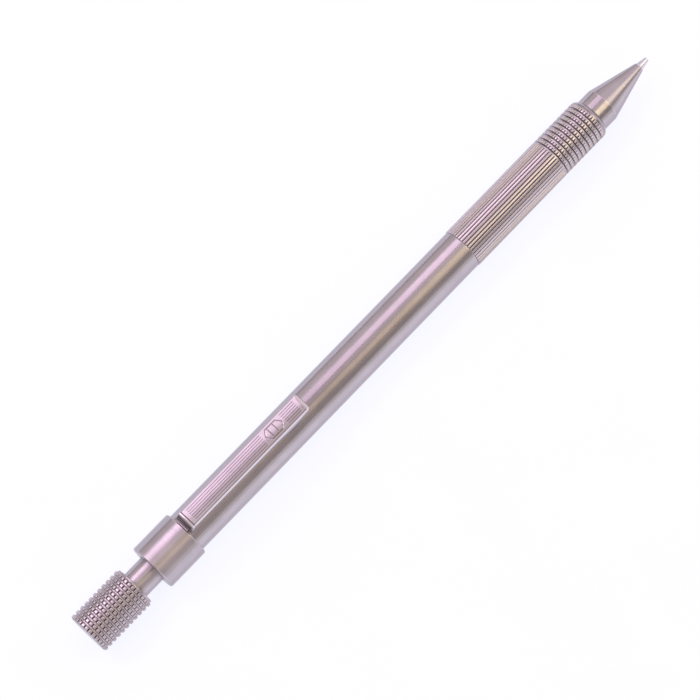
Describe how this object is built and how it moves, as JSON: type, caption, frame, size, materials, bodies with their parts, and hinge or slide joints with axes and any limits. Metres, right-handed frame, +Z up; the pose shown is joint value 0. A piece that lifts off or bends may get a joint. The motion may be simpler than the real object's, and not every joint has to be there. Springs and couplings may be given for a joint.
{
  "type": "mechanical pencil",
  "caption": "Slim all-metal mechanical pencil with a knurled push button, a hinged pocket clip, a fluted and ringed grip and a conical nose with a fine lead guide.",
  "frame": {"origin": "under the middle of the pencil's length, level with the lowest point of the collar, on the plane of symmetry through the clip", "axes": "+X along the pencil from the button to the tip, +Z up through the clip, +Y across"},
  "size_m": [0.1454, 0.0094, 0.0111],
  "materials": {
    "satin_metal": "satin",
    "polished_metal": "polished",
    "pin_steel": "bright",
    "inner_brass": "machined",
    "liner_plastic": "matte",
    "tube_plastic": "gloss",
    "eraser_rubber": "matte",
    "black_rubber": "matte",
    "graphite": "semi-matte"
  },
  "bodies": {
    "housing": {"barrel": "satin_metal", "collar": "satin_metal", "stem_bush": "inner_brass", "clip_pin": "pin_steel", "clip_spring": "pin_steel", "joint_insert": "inner_brass", "grip_sleeve": "satin_metal", "nose_cone": "satin_metal", "lead_retainer": "black_rubber", "tip_sleeve": "polished_metal", "mechanism_sleeve": "inner_brass", "return_spring": "pin_steel"},
    "push_set": {"push_stem": "satin_metal", "eraser": "eraser_rubber", "eraser_holder": "inner_brass", "lead_tube": "tube_plastic", "tube_connector": "inner_brass", "chuck": "inner_brass", "spare_leads": "graphite"},
    "button": {"push_button": "satin_metal", "button_liner": "liner_plastic"},
    "clip": {"clip": "satin_metal"},
    "clutch": {"clutch_ring": "inner_brass"},
    "lead": {"lead": "graphite"}
  },
  "joints": [
    {"name": "push", "type": "slide", "parent": "housing", "child": "push_set", "axis": [1, 0, 0], "range_m": [0, 0.003], "stiffness_N_per_m": 900, "springref_m": -0.003, "deforming": ["return_spring"]},
    {"name": "button_pull_off", "type": "slide", "parent": "push_set", "child": "button", "axis": [-1, 0, 0], "range_m": [0, 0.014]},
    {"name": "clip_hinge", "type": "hinge", "parent": "housing", "child": "clip", "pos_m": [-0.05005, 0, 0.0085], "axis": [0, -1, 0], "range_deg": [0, 4.5], "stiffness_Nm_per_rad": 0.5, "springref_deg": -2.86, "deforming": ["clip_spring"]},
    {"name": "clutch_slide", "type": "slide", "parent": "housing", "child": "clutch", "axis": [1, 0, 0], "range_m": [0, 0.001]},
    {"name": "lead_feed", "type": "slide", "parent": "housing", "child": "lead", "axis": [1, 0, 0], "range_m": [0, 0.006]}
  ],
  "couplings": [
    {"joint": "clutch_slide", "follows": "push", "ratio": 0.33}
  ]
}
